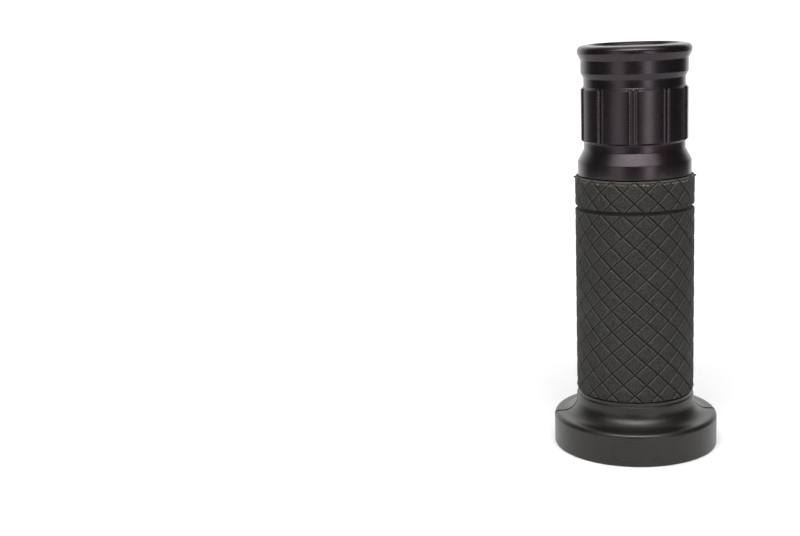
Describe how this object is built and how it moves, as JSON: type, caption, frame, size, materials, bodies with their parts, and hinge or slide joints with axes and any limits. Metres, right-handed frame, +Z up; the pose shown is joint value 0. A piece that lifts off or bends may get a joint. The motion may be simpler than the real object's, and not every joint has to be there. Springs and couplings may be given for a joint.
{
  "type": "throttle grip",
  "caption": "Handlebar throttle grip: a diamond-patterned rubber sleeve and end flange on a turning tube, with a fluted metal collar, rotating on a liner.",
  "frame": {"origin": "centre of the outboard face of the end flange, on the handlebar axis", "axes": "+Z runs along the handlebar axis, inboard; -Y is the front meridian of the grip; +X is to the right when looking at the front with +Z up"},
  "size_m": [0.0464, 0.0464, 0.1145],
  "materials": {
    "liner_acetal": "smooth black acetal",
    "tube_nylon": "moulded black nylon",
    "black_steel": "black oxide steel",
    "anodised_collar": "satin black anodised, turned",
    "sleeve_rubber": "matte moulded rubber with an incised diamond pattern",
    "flange_rubber": "satin moulded rubber, fine grain"
  },
  "bodies": {
    "bar_liner": {"bar_liner": "liner_acetal"},
    "grip": {"throttle_tube": "tube_nylon", "snap_ring": "black_steel", "collar": "anodised_collar", "grip_sleeve": "sleeve_rubber", "end_flange": "flange_rubber", "set_screw_1": "black_steel", "set_screw_2": "black_steel"}
  },
  "joints": [
    {"name": "twist", "type": "hinge", "parent": "bar_liner", "child": "grip", "pos_m": [0, 0, 0], "axis": [0, 0, -1], "range_deg": [0, 75]}
  ]
}
